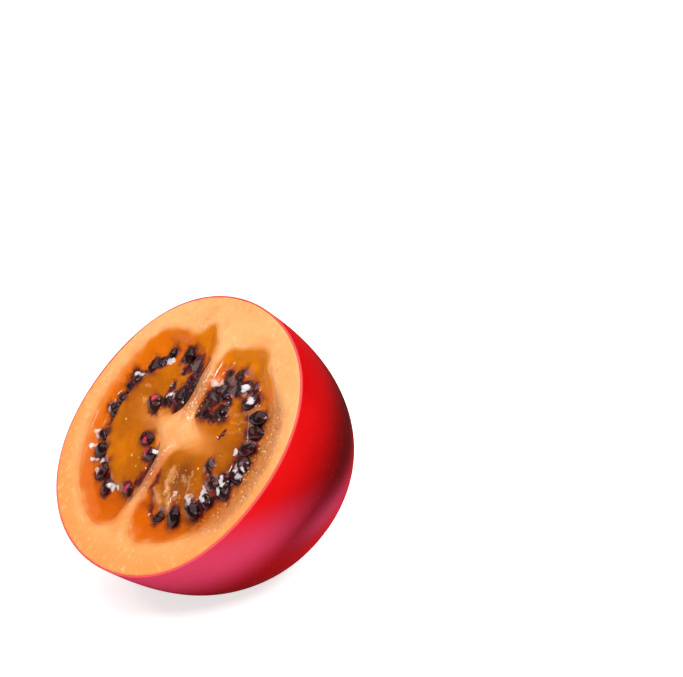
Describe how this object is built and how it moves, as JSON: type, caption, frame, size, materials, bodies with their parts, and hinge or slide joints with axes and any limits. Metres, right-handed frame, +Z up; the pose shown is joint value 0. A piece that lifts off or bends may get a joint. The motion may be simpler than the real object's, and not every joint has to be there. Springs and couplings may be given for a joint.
{
  "type": "tamarillo half",
  "caption": "Half of a red tamarillo cut straight across, lying on its skin, with flesh, dividing wall, seed lobes and seeds showing.",
  "frame": {"origin": "middle of the small flat spot of skin that the half rests on", "axes": "+Z up; the cut face leans back and looks towards -Y and up; +X to the right when facing the cut"},
  "size_m": [0.0459, 0.0468, 0.0474],
  "materials": {
    "skin": "smooth waxy red fruit skin, satin gloss",
    "flesh": "moist pale orange fruit flesh",
    "pulp": "wet translucent amber jelly with dark glossy seeds"
  },
  "bodies": {
    "root": {"skin": "skin", "flesh": "flesh", "pulp_left": "pulp", "pulp_right": "pulp"}
  },
  "joints": []
}
